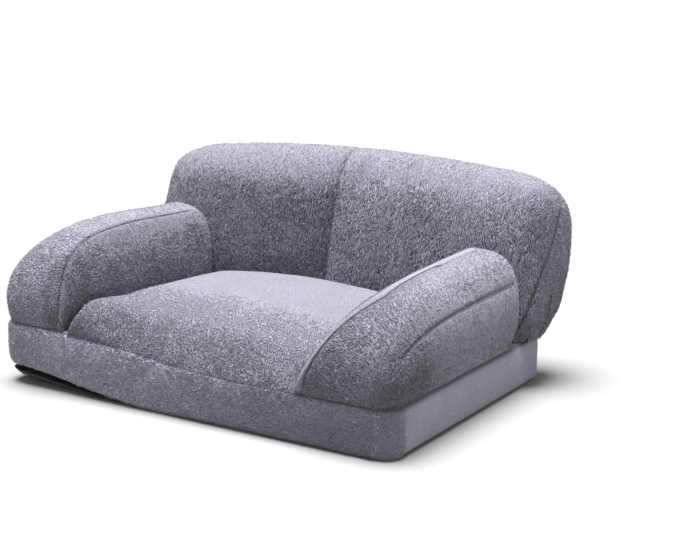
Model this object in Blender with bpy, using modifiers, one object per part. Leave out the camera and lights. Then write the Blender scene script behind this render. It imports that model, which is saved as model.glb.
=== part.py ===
"""Plush pet sofa: a boxed base cushion, two bolster arms and a leaning two-section backrest.

Frame: metres, +X to the right of someone facing the seat, -Y towards the front, +Z up.
The origin is on the floor, in the middle of the overall depth and width.

Every soft form is a surface worked out from a few driving sizes. A filling is a cut-up cube
whose points are moved onto that form, and a cover panel is a grid laid on it and given its
thickness by Solidify. The cover opens at the back of the base with a zip.
"""
import math

import bmesh
import bpy
from mathutils import Vector

# ---------------------------------------------------------------- driving sizes
OVERALL_WIDTH = 0.480
OVERALL_HEIGHT = 0.230
BASE_DEPTH = 0.327            # front of the base to its back, under the leaning backrest
BACK_OVERHANG = 0.043         # how far the backrest leans out past the back of the base
BORDER_TOP = 0.050            # height of the seam round the top of the base
BORDER_FOOT = 0.0046          # height of the seam round the bottom fabric
BORDER_BULGE = 0.004          # how far the middle of the border stands out past its seams
CORNER_RADIUS = 0.024
CORNER_RISE = 0.016           # how far the front left corner curls up off the floor
RISE_START_X = 0.060          # where the curl starts; along the bed it starts at the back

COVER = 0.0020                # plush cover fabric with its pile pressed flat
BORDER_FABRIC = 0.0030
BOTTOM_FABRIC = 0.0020
GAP = 0.0003                  # clearance between pieces that touch
FOAM_FLOOR_GAP = 0.0015       # clearance of the foam over the curved bottom fabric
RISEN_FLOOR_SHARE = 0.06      # more of it, for each unit that the floor curls up
SOFT_GAP = 0.0022             # clearance of a filling inside its curved cover
FOAM_TOP_DROP = 0.0006        # top of the foam block below the border's top seam

BOTTOM_CURL = 0.014           # width of the curved edge of the bottom fabric
BOTTOM_CURL_RISEN = 1.7       # more width for each unit that the corner curls up
SIDE_ARC_SHARE = 0.28         # share of a side border's grid on each rounded corner
SEAT_CROWN = 0.045            # height of the seat above the border's top seam, at the back
SEAT_SIDE_DROP = 0.26         # share of the crown lost beside the arms
SEAT_ROUNDNESS = 2.7          # power of the seat's rounded front edge
WADDING_TURN = math.radians(78)  # how far round the front edge the wadding reaches

ARM_WIDTH = 0.0925
ARM_HEIGHT = 0.096            # arm above the border's top seam, at the backrest
ARM_FRONT_SETBACK = 0.001     # front of the arm behind the front of the base
ARM_SIDE_SETBACK = 0.0005     # side of the arm inside the widest part of the base
ARM_SECTION_POWER = 2.7       # 2 is an ellipse, more is squarer
ARM_NOSE_POWER = 3.3
ARM_FILL_TURN = math.radians(82)  # how far round the nose the filling reaches
ARM_INNER_SEAM = math.radians(75)
ARM_INNER_SEAM_DROP = 0.72    # share of that turn the inner seam loses down the nose
ARM_INNER_SEAM_BEND = 0.35    # share of the arm's length before the seam starts to drop
ARM_OUTER_SEAM = math.radians(146)

BACK_FOOT_DEPTH = 0.071
BACK_FOOT_OVERHANG = 0.005    # foot of the backrest past the back of the base
BACK_LEAN = 0.215             # backward run for each unit of height
BACK_FRONT_SWELL = 0.006
BACK_REAR_RISE = 0.4          # share of the height over which the rear face swells out
BACK_SECTION_POWER = 3.0
BACK_ARCH = 0.013             # drop of the top line from the middle to the ends
BACK_END_ROUND = 0.15         # share of the section lost at the rounded ends
BACK_END_POWER = 10
BACK_END_DOME = 0.0045
BACK_TOP_SEAM = math.radians(118)
SEAM_TURN = math.radians(1.2)  # part of a section's turn left open at a seam between panels

ZIP_END_MARGIN = 0.044        # end of the zip to the side of the base
ZIP_OPENING = 0.0098          # slot between the two back strips
ZIP_CHAIN_WIDTH = 0.0040
ZIP_CHAIN_DEPTH = 0.0010
ZIP_TOOTH_DEPTH = 0.0010
ZIP_TOOTH_PITCH = 0.0060
ZIP_TAPE = 0.0010
ZIP_TAPE_DEPTH_IN = 0.0022    # back of the tapes behind the outside of the border
ZIP_STOP_LENGTH = 0.0030
SLIDER_LENGTH = 0.0100
SLIDER_PLATE = 0.0014
SLIDER_CLEARANCE = 0.0004
OVERLAP = 0.0002              # depth by which shapes that are joined run into each other
CUT_PAST = 0.001              # length by which a cutter runs past what it cuts
LUG_LENGTH = 0.0030
LUG_WIDTH = 0.0011
LUG_RIM = 0.0006              # metal of a lug beyond the pin
STOP_RIM = 0.0006             # end stop past the teeth, above and below
PIN_RADIUS = 0.0006
PIN_CLEARANCE = 0.00025
PULL_LENGTH = 0.0240
PULL_THICKNESS = 0.0012
PULL_WALL = 0.0007
PULL_EYE_STEPS = 14
EYE_HOLE_STEPS = 12
PIN_SIDES = 12

# ---------------------------------------------------------------- derived sizes
HALF_WIDTH = OVERALL_WIDTH / 2
FRONT_Y = -(BASE_DEPTH + BACK_OVERHANG) / 2
BACK_Y = FRONT_Y + BASE_DEPTH
BACK_FOOT_FRONT = BACK_Y + BACK_FOOT_OVERHANG - BACK_FOOT_DEPTH
SEAT_BACK = BACK_FOOT_FRONT - 2 * GAP
SEAT_HALF_WIDTH = HALF_WIDTH - ARM_SIDE_SETBACK - ARM_WIDTH - GAP
ARM_MIDDLE = SEAT_HALF_WIDTH + GAP + ARM_WIDTH / 2
ARM_FRONT = FRONT_Y + ARM_FRONT_SETBACK
BACK_HEIGHT = OVERALL_HEIGHT - BORDER_TOP - 2 * GAP
BACK_END = HALF_WIDTH - BACK_END_DOME
FOAM_TOP = BORDER_TOP - FOAM_TOP_DROP
ZIP_FACE = BACK_Y - ZIP_TAPE_DEPTH_IN
ZIP_HEIGHT = (BORDER_FOOT + BORDER_TOP) / 2
ZIP_LENGTH = OVERALL_WIDTH - 2 * ZIP_END_MARGIN


# ---------------------------------------------------------------- formulas
def smooth(value):
    """Ease from 0 to 1 as value goes from 0 to 1, flat at both ends."""
    value = min(max(value, 0.0), 1.0)
    return value * value * (3 - 2 * value)


def rise(x, y):
    """Height by which the front left corner of the whole sofa curls up."""
    across = smooth((RISE_START_X - x) / (RISE_START_X + HALF_WIDTH))
    along = smooth((BACK_Y - y) / BASE_DEPTH)
    return CORNER_RISE * across * along


def lifted(x, y, z):
    return Vector((x, y, z + rise(x, y)))


def swell_power(cosine, power):
    """Signed power of a sine or cosine, the coordinate of a superellipse."""
    return math.copysign(abs(cosine) ** (2 / power), cosine)


def squircle(a, b, power):
    """Share by which the point (a, b) of a square is drawn in to a superellipse."""
    reach = (abs(a) ** power + abs(b) ** power) ** (1 / power)
    return max(abs(a), abs(b)) / reach if reach else 1.0


def spread(fraction):
    """Grid positions from -1 to 1, closer together towards both ends."""
    return math.sin((fraction - 0.5) * math.pi)


def border_inset(height):
    """How far the border's seams lie inside its bulging middle; height runs 0 to 1."""
    return BORDER_BULGE * (2 * height - 1) ** 2


def row_half_width(y, inset):
    """Half width of the base's plan at y: straight sides with rounded corners."""
    radius = max(CORNER_RADIUS - inset, 0.001)
    nearest = min(y - (FRONT_Y + inset), BACK_Y - inset - y)
    into_corner = max(radius - nearest, 0.0)
    drop = radius - math.sqrt(max(radius ** 2 - into_corner ** 2, 0.0))
    return HALF_WIDTH - inset - drop


def plan_point(u, v, inset):
    """Point of the base's plan for u and v from 0 to 1 across and along it."""
    middle = (FRONT_Y + BACK_Y) / 2
    y = middle + (BASE_DEPTH / 2 - inset) * spread(v)
    return row_half_width(y, inset) * spread(u), y


def edge_distance(x, y):
    """Distance from a point of the plan in to its outline."""
    ahead = min(y - FRONT_Y, BACK_Y - y)
    aside = HALF_WIDTH - abs(x)
    if ahead > CORNER_RADIUS or aside > CORNER_RADIUS:
        return min(ahead, aside)
    return CORNER_RADIUS - math.hypot(CORNER_RADIUS - ahead, CORNER_RADIUS - aside)


def bottom_height(x, y):
    """Outside of the bottom fabric: flat on the floor, curving up to its seam."""
    reach = BOTTOM_CURL + BOTTOM_CURL_RISEN * rise(x, y)
    share = min(max(1 - edge_distance(x, y) / reach, 0.0), 1.0)
    return (BORDER_FOOT - 4 * GAP + rise(x, y)) * share ** 2


def side_outline(side, fraction, inset):
    """Plan of a side border: round the front corner, along the side, round the back one."""
    radius = CORNER_RADIUS - inset
    near_x = HALF_WIDTH - CORNER_RADIUS
    if fraction < SIDE_ARC_SHARE:
        angle = (fraction / SIDE_ARC_SHARE - 1) * math.pi / 2
        centre_y = FRONT_Y + CORNER_RADIUS
    elif fraction > 1 - SIDE_ARC_SHARE:
        angle = (fraction - 1 + SIDE_ARC_SHARE) / SIDE_ARC_SHARE * math.pi / 2
        centre_y = BACK_Y - CORNER_RADIUS
    else:
        share = (fraction - SIDE_ARC_SHARE) / (1 - 2 * SIDE_ARC_SHARE)
        y = FRONT_Y + CORNER_RADIUS + share * (BASE_DEPTH - 2 * CORNER_RADIUS)
        return side * (near_x + radius), y
    return side * (near_x + radius * math.cos(angle)), centre_y + radius * math.sin(angle)


def seat_height(x, angle):
    """Height of the seat's crown; angle is 0 at the backrest and a right angle in front."""
    side_drop = 1 - SEAT_SIDE_DROP * (x / SEAT_HALF_WIDTH) ** 2
    return BORDER_TOP + SEAT_CROWN * side_drop * swell_power(math.cos(angle), SEAT_ROUNDNESS)


def seat_depth(angle, inset=0.0):
    front = FRONT_Y + BORDER_BULGE + inset
    return SEAT_BACK - (SEAT_BACK - front) * swell_power(math.sin(angle), SEAT_ROUNDNESS)


def back_middle(z):
    """Middle of the leaning backrest at a height."""
    return BACK_FOOT_FRONT + BACK_FOOT_DEPTH / 2 + BACK_LEAN * (z - BORDER_TOP)


def rear_swell():
    """Swell of the rear face that takes its furthest point to the overhang asked for."""
    swell = 0.0
    for step in range(1, 100):
        up = step / 100
        section = (1 - up ** BACK_SECTION_POWER) ** (1 / BACK_SECTION_POWER)
        reach = BACK_Y + BACK_OVERHANG - back_middle(BORDER_TOP + BACK_HEIGHT * up)
        needed = (reach / section - BACK_FOOT_DEPTH / 2) / smooth(up / BACK_REAR_RISE)
        swell = needed if step == 1 else min(swell, needed)
    return swell


def back_face(z, rear=False):
    """Middle and half depth of the backrest at a height, away from its rounded top."""
    share = (z - BORDER_TOP) / BACK_HEIGHT
    half = BACK_FOOT_DEPTH / 2
    if rear:
        return back_middle(z), half + BACK_REAR_SWELL * smooth(share / BACK_REAR_RISE)
    return back_middle(z), half + BACK_FRONT_SWELL * share


def back_point(x, across, up, inset):
    """Point of the backrest; across is -1 in front to 1 behind, up is 0 to 1."""
    end_share = abs(x) / BACK_END
    shrink = 1 - BACK_END_ROUND * end_share ** BACK_END_POWER
    height = (BACK_HEIGHT - BACK_ARCH * end_share ** 2 - inset) * shrink
    z = BORDER_TOP + height * up
    middle, half = back_face(z, rear=across > 0)
    return lifted(x, middle + (half - inset) * across * shrink, z)


def arm_join(z):
    """Depth at which an arm butts against the front of the backrest."""
    share = (z - BORDER_TOP) / BACK_HEIGHT
    middle, half = back_face(z)
    return middle - half * (1 - share ** BACK_SECTION_POWER) ** (1 / BACK_SECTION_POWER) - 2 * GAP


def arm_point(side, across, up, forward, inset):
    """Point of an arm; across -1 (inner) to 1, up 0 to 1, forward 0 (back) to 1 (nose)."""
    z = BORDER_TOP + (ARM_HEIGHT - inset) * up
    rear = arm_join(z)
    y = rear - (rear - ARM_FRONT - inset) * forward
    half = ARM_WIDTH / 2
    if across > 0:
        half = min(half, row_half_width(y, ARM_SIDE_SETBACK) - ARM_MIDDLE)
    return lifted(side * (ARM_MIDDLE + (half - inset) * across), y, z)


BACK_REAR_SWELL = rear_swell()


# ---------------------------------------------------------------- building blocks
def clear_scene():
    for old in list(bpy.data.objects):
        bpy.data.objects.remove(old)


def collection(name):
    made = bpy.data.collections.new(name)
    bpy.context.scene.collection.children.link(made)
    return made


def finish_mesh(name, bm, target, material):
    bmesh.ops.recalc_face_normals(bm, faces=bm.faces)
    if bm.calc_volume(signed=True) < 0:
        bmesh.ops.reverse_faces(bm, faces=bm.faces)
    mesh = bpy.data.meshes.new(name)
    bm.to_mesh(mesh)
    bm.free()
    piece = bpy.data.objects.new(name, mesh)
    target.objects.link(piece)
    if material:
        mesh.materials.append(material)
    return piece


def shaped_block(name, cuts, place, target, material):
    """Filling: a cube cut along its three axes, each point moved to place(a, b, c) in 0..1."""
    bm = bmesh.new()
    bmesh.ops.create_cube(bm, size=1.0)
    for axis, count in enumerate(cuts):
        along = [e for e in bm.edges if abs(e.verts[0].co[axis] - e.verts[1].co[axis]) > 1e-6]
        bmesh.ops.subdivide_edges(bm, edges=along, cuts=count, use_grid_fill=True)
    for vert in bm.verts:
        vert.co = place(*(c + 0.5 for c in vert.co))
    piece = finish_mesh(name, bm, target, material)
    piece.data.shade_smooth()
    return piece


def shaped_panel(name, segments, place, thickness, target, material, inwards=None):
    """Cover panel: a grid moved to place(a, b) in 0..1 and thickened towards its inside.

    inwards(point) gives a direction that leads into the filling from that point.
    """
    bm = bmesh.new()
    bmesh.ops.create_grid(bm, x_segments=segments[0], y_segments=segments[1], size=0.5)
    for vert in bm.verts:
        vert.co = place(vert.co.x + 0.5, vert.co.y + 0.5)
    bm.normal_update()
    faces = list(bm.faces)
    middle = faces[len(faces) // 2]
    if middle.normal.dot(inwards(middle.calc_center_median())) > 0:
        bmesh.ops.reverse_faces(bm, faces=faces)
    mesh = bpy.data.meshes.new(name)
    bm.to_mesh(mesh)
    bm.free()
    piece = bpy.data.objects.new(name, mesh)
    target.objects.link(piece)
    mesh.materials.append(material)
    mesh.shade_smooth()
    shell = piece.modifiers.new("thickness", "SOLIDIFY")
    shell.thickness = thickness
    shell.offset = -1.0
    return piece


def box(name, low, high, target, material=None):
    bm = bmesh.new()
    bmesh.ops.create_cube(bm, size=1.0)
    size = Vector(high) - Vector(low)
    for vert in bm.verts:
        vert.co = Vector(low) + Vector([size[i] * (vert.co[i] + 0.5) for i in range(3)])
    return finish_mesh(name, bm, target, material)


def combine(piece, tool, operation):
    """Join the tool onto the piece or cut it away, and keep the tool out of the model."""
    step = piece.modifiers.new(tool.name, "BOOLEAN")
    step.operation = operation
    step.object = tool
    step.solver = "EXACT"
    tool.hide_render = True
    tool.display_type = "WIRE"


def finish(name, colour, roughness, metallic=0.0):
    material = bpy.data.materials.new(name)
    material.use_nodes = True
    shader = material.node_tree.nodes["Principled BSDF"]
    shader.inputs["Base Color"].default_value = (*colour, 1.0)
    shader.inputs["Roughness"].default_value = roughness
    shader.inputs["Metallic"].default_value = metallic
    return material


# ---------------------------------------------------------------- base cushion
def build_base(parts, looks):
    def foam(a, b, c):
        x, y = plan_point(a, b, BORDER_FABRIC + SOFT_GAP + border_inset(c))
        floor = bottom_height(x, y) + BOTTOM_FABRIC + FOAM_FLOOR_GAP
        floor += RISEN_FLOOR_SHARE * rise(x, y)
        top = FOAM_TOP + rise(x, y)
        return Vector((x, y, floor + (top - floor) * c))

    def wadding(a, b, c):
        x = (2 * a - 1) * (SEAT_HALF_WIDTH - COVER - SOFT_GAP)
        angle = b * WADDING_TURN
        y = seat_depth(angle, COVER + SOFT_GAP)
        foot = BORDER_TOP + GAP
        crown = seat_height(x, angle) - COVER - SOFT_GAP
        return lifted(x, y, foot + (crown - foot) * c)

    def seat(a, b):
        x = (2 * a - 1) * SEAT_HALF_WIDTH
        angle = b * math.pi / 2
        return lifted(x, seat_depth(angle), seat_height(x, angle) + GAP)

    def front(a, b):
        x = (2 * a - 1) * (HALF_WIDTH - CORNER_RADIUS - 3 * GAP)
        return lifted(x, FRONT_Y + border_inset(b), BORDER_FOOT + (BORDER_TOP - BORDER_FOOT) * b)

    def side(sign):
        def place(a, b):
            x, y = side_outline(sign, a, border_inset(b))
            return lifted(x, y, BORDER_FOOT + (BORDER_TOP - BORDER_FOOT) * b)
        return place

    def back_strip(low, high):
        def place(a, b):
            x = (2 * a - 1) * (HALF_WIDTH - CORNER_RADIUS - 3 * GAP)
            z = low + (high - low) * b
            share = (z - BORDER_FOOT) / (BORDER_TOP - BORDER_FOOT)
            return lifted(x, BACK_Y - border_inset(share), z)
        return place

    def bottom(a, b):
        x, y = plan_point(a, b, BORDER_BULGE + GAP)
        return Vector((x, y, bottom_height(x, y)))

    plush = looks["plush"]
    shaped_block("base_foam", (11, 11, 3), foam, parts, looks["foam"])
    shaped_block("seat_wadding", (8, 9, 1), wadding, parts, looks["fibre"])
    shaped_panel("seat_top_panel", (10, 12), seat, COVER, parts, plush,
                 lambda p: Vector((0, 0, -1)))
    shaped_panel("front_border", (12, 4), front, BORDER_FABRIC, parts, plush,
                 lambda p: Vector((0, 1, 0)))
    for word, sign in (("left", -1), ("right", 1)):
        shaped_panel(f"{word}_border", (18, 4), side(sign), BORDER_FABRIC, parts, plush,
                     lambda p, s=sign: Vector((-s, 0, 0)))
    lower_edge = ZIP_HEIGHT - ZIP_OPENING / 2
    upper_edge = ZIP_HEIGHT + ZIP_OPENING / 2
    shaped_panel("rear_border_lower", (10, 2), back_strip(BORDER_FOOT, lower_edge),
                 BORDER_FABRIC, parts, plush, lambda p: Vector((0, -1, 0)))
    shaped_panel("rear_border_upper", (10, 2), back_strip(upper_edge, BORDER_TOP),
                 BORDER_FABRIC, parts, plush, lambda p: Vector((0, -1, 0)))
    shaped_panel("bottom_panel", (16, 16), bottom, BOTTOM_FABRIC, parts, looks["grip"],
                 lambda p: Vector((0, 0, 1)))


# ---------------------------------------------------------------- arms
def build_arm(word, side, parts, looks):
    def fill(a, b, c):
        across = 2 * a - 1
        section = squircle(across, c, ARM_SECTION_POWER)
        turn = b * ARM_FILL_TURN
        up = c * section * swell_power(math.cos(turn), ARM_NOSE_POWER)
        up += GAP / ARM_HEIGHT * (1 - c)
        forward = swell_power(math.sin(turn), ARM_NOSE_POWER)
        return arm_point(side, across * section, up, forward, COVER + SOFT_GAP)

    def panel(start, stop):
        def place(a, b):
            turn = b * math.pi / 2
            low, high = start(b), stop(b)
            angle = low + (high - low) * a
            up = swell_power(math.sin(angle), ARM_SECTION_POWER)
            up *= swell_power(math.cos(turn), ARM_NOSE_POWER)
            across = -swell_power(math.cos(angle), ARM_SECTION_POWER)
            forward = swell_power(math.sin(turn), ARM_NOSE_POWER)
            point = arm_point(side, across, up, forward, 0.0)
            point.z += 2 * GAP
            return point
        return place

    def inner_seam(b):
        drop = smooth((b - ARM_INNER_SEAM_BEND) / (1 - ARM_INNER_SEAM_BEND))
        return ARM_INNER_SEAM * (1 - ARM_INNER_SEAM_DROP * drop)

    def open_seam(b):
        return SEAM_TURN * (1 + 4 * b)

    centre = Vector((side * ARM_MIDDLE, (ARM_FRONT + SEAT_BACK) / 2, BORDER_TOP + ARM_HEIGHT / 3))
    towards = lambda p: centre - p
    plush = looks["plush"]
    shaped_block(f"{word}_arm_fill", (6, 9, 5), fill, parts, looks["fibre"])
    shaped_panel(f"{word}_arm_inner_panel", (6, 12), panel(lambda b: 0.0, inner_seam),
                 COVER, parts, plush, towards)
    shaped_panel(f"{word}_arm_top_panel", (6, 12),
                 panel(lambda b: inner_seam(b) + open_seam(b), lambda b: ARM_OUTER_SEAM),
                 COVER, parts, plush, towards)
    shaped_panel(f"{word}_arm_outer_panel", (4, 12),
                 panel(lambda b: ARM_OUTER_SEAM + open_seam(b), lambda b: math.pi),
                 COVER, parts, plush, towards)


# ---------------------------------------------------------------- backrest
def build_back(parts, looks):
    foot = GAP / BACK_HEIGHT

    def fill(side):
        def place(a, b, c):
            across = 2 * b - 1
            section = squircle(across, c, BACK_SECTION_POWER)
            x = side * (GAP + (BACK_END - COVER - SOFT_GAP) * a)
            up = c * section + foot * (1 - c)
            return back_point(x, across * section, up, COVER + SOFT_GAP)
        return place

    def panel(inner, outer, start, stop):
        def place(a, b):
            angle = start + (stop - start) * b
            across = -swell_power(math.cos(angle), BACK_SECTION_POWER)
            up = swell_power(math.sin(angle), BACK_SECTION_POWER)
            point = back_point(inner + (outer - inner) * a, across, up, 0.0)
            point.z += 2 * GAP
            return point
        return place

    def end(side):
        def place(a, b):
            across = 2 * a - 1
            section = squircle(across, b, BACK_SECTION_POWER)
            dome = (1 - across ** 2) * (1 - (2 * b - 1) ** 2)
            point = back_point(side * BACK_END, across * section, b * section, COVER)
            point.x = side * (BACK_END + GAP + COVER + (BACK_END_DOME - GAP - COVER) * dome)
            point.z += 2 * GAP
            return point
        return place

    plush = looks["plush"]
    for word, side in (("left", -1), ("right", 1)):
        shaped_block(f"{word}_back_fill", (8, 5, 6), fill(side), parts, looks["fibre"])
        shaped_panel(f"{word}_back_front_panel", (9, 12),
                     panel(side * GAP, side * BACK_END, 0.0, BACK_TOP_SEAM),
                     COVER, parts, plush, lambda p: Vector((0, 1, -0.5)))
        shaped_panel(f"{word}_back_end_panel", (6, 7), end(side), COVER, parts, plush,
                     lambda p, s=side: Vector((-s, 0, 0)))
    shaped_panel("back_rear_panel", (18, 8),
                 panel(-BACK_END, BACK_END, BACK_TOP_SEAM + SEAM_TURN, math.pi),
                 COVER, parts, plush, lambda p: Vector((0, -1, 0)))


# ---------------------------------------------------------------- zip
def build_zip(parts, tools, looks):
    half = ZIP_LENGTH / 2
    tape_face = ZIP_FACE + ZIP_TAPE
    chain_back = tape_face + GAP
    chain_front = chain_back + ZIP_CHAIN_DEPTH + ZIP_TOOTH_DEPTH
    for word, sign in (("lower", -1), ("upper", 1)):
        edges = sorted((ZIP_HEIGHT + sign * GAP, ZIP_HEIGHT + sign * (ZIP_OPENING / 2 - 3 * GAP)))
        box(f"zip_tape_{word}", (-half, ZIP_FACE, edges[0]), (half, tape_face, edges[1]),
            parts, looks["tape"])

    count = int((ZIP_LENGTH - 2 * ZIP_STOP_LENGTH - 2 * GAP) / ZIP_TOOTH_PITCH)
    start = -count * ZIP_TOOTH_PITCH / 2
    root = chain_back + ZIP_CHAIN_DEPTH
    outline = [(start, chain_back)]
    for tooth in range(count):
        left = start + tooth * ZIP_TOOTH_PITCH
        middle = left + ZIP_TOOTH_PITCH / 2
        outline += [(left, chain_front), (middle, chain_front), (middle, root)]
        outline += [(left + ZIP_TOOTH_PITCH, root)]
    outline += [(start + count * ZIP_TOOTH_PITCH, chain_back)]
    curve = bpy.data.curves.new("zip_teeth", "CURVE")
    curve.dimensions = "2D"
    curve.fill_mode = "BOTH"
    curve.extrude = ZIP_CHAIN_WIDTH / 2
    line = curve.splines.new("POLY")
    line.points.add(len(outline) - 1)
    for point, (x, y) in zip(line.points, outline):
        point.co = (x, y, 0.0, 1.0)
    line.use_cyclic_u = True
    curve.materials.append(looks["teeth"])
    teeth = bpy.data.objects.new("zip_teeth", curve)
    teeth.location.z = ZIP_HEIGHT
    parts.objects.link(teeth)

    wide = ZIP_CHAIN_WIDTH / 2 + STOP_RIM
    for word, sign in (("left", -1), ("right", 1)):
        ends = sorted((sign * half, sign * (half - ZIP_STOP_LENGTH)))
        box(f"zip_stop_{word}", (ends[0], chain_back, ZIP_HEIGHT - wide),
            (ends[1], chain_front, ZIP_HEIGHT + wide), parts, looks["metal"])

    build_slider(chain_back, chain_front, half, parts, tools, looks)


def build_slider(chain_back, chain_front, half, parts, tools, looks):
    """Slider at the closed end of the zip, and its pull lying back along the teeth."""
    right = half - ZIP_STOP_LENGTH - 2 * GAP
    left = right - SLIDER_LENGTH
    reach = ZIP_OPENING / 2 - 2 * GAP
    plate_back = chain_front + SLIDER_CLEARANCE
    plate_front = plate_back + SLIDER_PLATE
    pin_y = plate_front + PIN_RADIUS + PIN_CLEARANCE + PULL_WALL + 2 * GAP
    pin_x = (left + right) / 2
    low, high = ZIP_HEIGHT - reach, ZIP_HEIGHT + reach

    slider = box("zip_slider", (left, chain_back + GAP, low), (right, plate_front, high),
                 parts, looks["metal"])
    channel = ZIP_CHAIN_WIDTH / 2 + SLIDER_CLEARANCE
    groove = box("slider_groove", (left - CUT_PAST, chain_back - CUT_PAST, ZIP_HEIGHT - channel),
                 (right + CUT_PAST, plate_back, ZIP_HEIGHT + channel), tools)
    combine(slider, groove, "DIFFERENCE")
    lug_front = pin_y + PIN_RADIUS + LUG_RIM
    for word, edges in (("lower", (low, low + LUG_WIDTH)), ("upper", (high - LUG_WIDTH, high))):
        lug = box(f"slider_lug_{word}", (pin_x - LUG_LENGTH / 2, plate_front - OVERLAP, edges[0]),
                  (pin_x + LUG_LENGTH / 2, lug_front, edges[1]), tools)
        combine(slider, lug, "UNION")
    bm = bmesh.new()
    bmesh.ops.create_cone(bm, cap_ends=True, segments=PIN_SIDES, radius1=PIN_RADIUS,
                          radius2=PIN_RADIUS, depth=2 * reach - LUG_WIDTH)
    pin = finish_mesh("slider_pin", bm, tools, None)
    pin.location = (pin_x, pin_y, ZIP_HEIGHT)
    combine(slider, pin, "UNION")

    eye = PIN_RADIUS + PIN_CLEARANCE
    rim = eye + PULL_WALL
    curve = bpy.data.curves.new("zip_pull", "CURVE")
    curve.dimensions = "2D"
    curve.fill_mode = "BOTH"
    curve.extrude = reach - LUG_WIDTH - GAP
    half_plate = PULL_THICKNESS / 2
    open_angle = math.asin(half_plate / rim)
    outside = [(-PULL_LENGTH, half_plate)]
    for step in range(PULL_EYE_STEPS + 1):
        angle = (math.pi - open_angle) * (1 - 2 * step / PULL_EYE_STEPS)
        outside.append((rim * math.cos(angle), rim * math.sin(angle)))
    outside.append((-PULL_LENGTH, -half_plate))
    turns = [2 * math.pi * step / EYE_HOLE_STEPS for step in range(EYE_HOLE_STEPS)]
    hole = [(eye * math.cos(turn), eye * math.sin(turn)) for turn in turns]
    for ring in (outside, hole):
        line = curve.splines.new("POLY")
        line.points.add(len(ring) - 1)
        for point, (x, y) in zip(line.points, ring):
            point.co = (x, y, 0.0, 1.0)
        line.use_cyclic_u = True
    curve.materials.append(looks["metal"])
    pull = bpy.data.objects.new("zip_pull", curve)
    pull.location = (pin_x, pin_y, ZIP_HEIGHT)
    parts.objects.link(pull)


def main():
    clear_scene()
    parts = collection("plush_pet_sofa")
    tools = collection("cutters")
    looks = {
        "plush": finish("grey_plush", (0.36, 0.35, 0.40), 0.95),
        "foam": finish("foam", (0.88, 0.85, 0.72), 0.9),
        "fibre": finish("hollow_fibre", (0.92, 0.92, 0.92), 1.0),
        "grip": finish("non_slip_fabric", (0.02, 0.02, 0.02), 0.8),
        "tape": finish("zip_tape", (0.30, 0.29, 0.34), 0.85),
        "teeth": finish("zip_teeth_nylon", (0.26, 0.25, 0.30), 0.45),
        "metal": finish("zip_metal", (0.55, 0.55, 0.57), 0.35, 1.0),
    }
    build_base(parts, looks)
    build_arm("left", -1, parts, looks)
    build_arm("right", 1, parts, looks)
    build_back(parts, looks)
    build_zip(parts, tools, looks)


main()
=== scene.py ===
"""Looks of the plush pet sofa: stuffed cushions with a matted pile, sewn seams, a grippy
underside, and better finishes on the zip. Metres, +X right, -Y front, +Z up, floor at 0.

Every cushion is a net of points worked out from two parameters. The net is blown up a little
by the cloth solver on a coarse copy, drawn in along its seams, roughened by strokes of pile,
and covered by small closed tufts.
"""

import math

import bmesh
import bpy
import numpy as np
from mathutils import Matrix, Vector


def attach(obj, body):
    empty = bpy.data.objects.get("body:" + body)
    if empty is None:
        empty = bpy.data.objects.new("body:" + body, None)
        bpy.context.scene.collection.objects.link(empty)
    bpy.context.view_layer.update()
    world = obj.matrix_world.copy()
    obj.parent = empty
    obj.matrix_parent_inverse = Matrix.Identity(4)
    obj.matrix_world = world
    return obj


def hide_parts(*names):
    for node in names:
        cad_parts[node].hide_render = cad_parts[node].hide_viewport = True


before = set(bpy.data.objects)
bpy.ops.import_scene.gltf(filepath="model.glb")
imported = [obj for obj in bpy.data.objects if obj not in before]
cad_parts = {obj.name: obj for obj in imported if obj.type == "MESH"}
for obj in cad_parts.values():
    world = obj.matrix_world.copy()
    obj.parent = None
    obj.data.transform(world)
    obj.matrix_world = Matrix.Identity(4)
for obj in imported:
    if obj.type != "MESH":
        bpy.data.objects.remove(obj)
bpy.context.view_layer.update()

# ---- sizes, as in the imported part
HALF_WIDTH = 0.240
FRONT_Y = -0.185
BACK_Y = 0.142
BASE_DEPTH = BACK_Y - FRONT_Y
FOOT, BORDER_TOP = 0.0003, 0.050
BORDER_ROLL = 0.0065          # how far the border rolls in at its top and bottom edges
BORDER_POWER = 4.0            # squareness of the border's section
CORNER_RADIUS = 0.024
CORNER_RISE = 0.016           # curl of the front left corner
RISE_START_X = 0.060
SEAT_BACK = 0.0754
SEAT_HALF_WIDTH = 0.1467
SEAT_CROWN = 0.045
SEAT_SIDE_DROP = 0.26
SEAT_POWER = 2.7
ARM_HALF = 0.04625
ARM_MIDDLE = 0.1932
ARM_HEIGHT = 0.096
ARM_FRONT = FRONT_Y + 0.001
ARM_POWER, NOSE_POWER = 2.9, 3.4
BACK_FOOT_MIDDLE, BACK_HALF = 0.1115, 0.0355
BACK_LEAN = 0.215
BACK_HEIGHT = 0.1794
BACK_ARCH = 0.013
BACK_FRONT_SWELL, BACK_REAR_SWELL = 0.006, 0.018
BACK_POWER = 3.0
BACK_END = 0.2355
REAR_SEAM_TURN = math.radians(118)
END_ROUND = 0.042             # roundness of the backrest from its front to an end
FLOOR_GAP = 0.0007            # outside of the underside over the floor, for its dots
ZIP_HEIGHT, ZIP_OPENING, ZIP_REACH = 0.0273, 0.0098, 0.1975

CELL = 0.00130                # spacing of a cushion's fine net
BACK_CELL = 0.0018            # the same on the backrest
COARSE = 0.0065               # spacing of the net that the cloth solver blows up
SOLVER_STEPS, PRESSURE = 20, 12.0
START_INSET = 0.0010          # cushions start this much smaller and swell
SWELL_CAP = 0.0055            # furthest that a point may move in the solver
NET_SHARE = 0.95              # part of the texture map that a net takes up

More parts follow.
